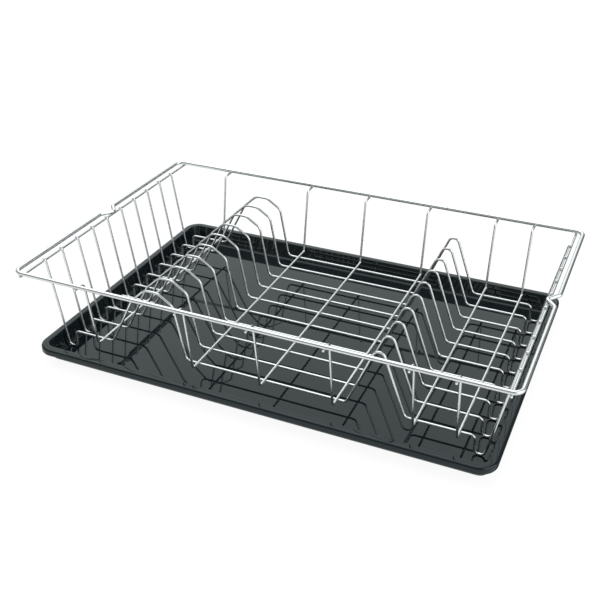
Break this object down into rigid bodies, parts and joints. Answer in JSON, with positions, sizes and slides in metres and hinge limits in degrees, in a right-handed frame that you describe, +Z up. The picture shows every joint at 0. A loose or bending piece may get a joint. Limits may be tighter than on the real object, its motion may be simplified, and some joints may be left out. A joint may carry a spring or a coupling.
{
  "type": "dish drying rack",
  "caption": "Chrome wire dish drying basket with rows of plate humps, standing in a black plastic drip tray.",
  "frame": {"origin": "centre of the drip tray's underside", "axes": "+X along the rack's length, from the wide humps to the narrow humps; +Y to the back; +Z up"},
  "size_m": [0.48, 0.3094, 0.1],
  "materials": {
    "chrome_wire": "gloss",
    "black_plastic": "gloss"
  },
  "bodies": {
    "tray": {"drip_tray": "black_plastic"},
    "basket": {"rim_wire": "chrome_wire", "end_bar_left": "chrome_wire", "end_bar_right": "chrome_wire", "plate_wire_01": "chrome_wire", "plate_wire_02": "chrome_wire", "plate_wire_03": "chrome_wire", "plate_wire_04": "chrome_wire", "plate_wire_05": "chrome_wire", "plate_wire_06": "chrome_wire", "plate_wire_07": "chrome_wire", "plate_wire_08": "chrome_wire", "plate_wire_09": "chrome_wire", "plate_wire_10": "chrome_wire", "cross_wire_01": "chrome_wire", "cross_wire_02": "chrome_wire", "cross_wire_03": "chrome_wire", "cross_wire_04": "chrome_wire", "cross_wire_05": "chrome_wire", "cross_wire_06": "chrome_wire"}
  },
  "joints": [
    {"name": "basket_lift", "type": "slide", "parent": "tray", "child": "basket", "axis": [0, 0, 1], "range_m": [0, 0.12]}
  ]
}
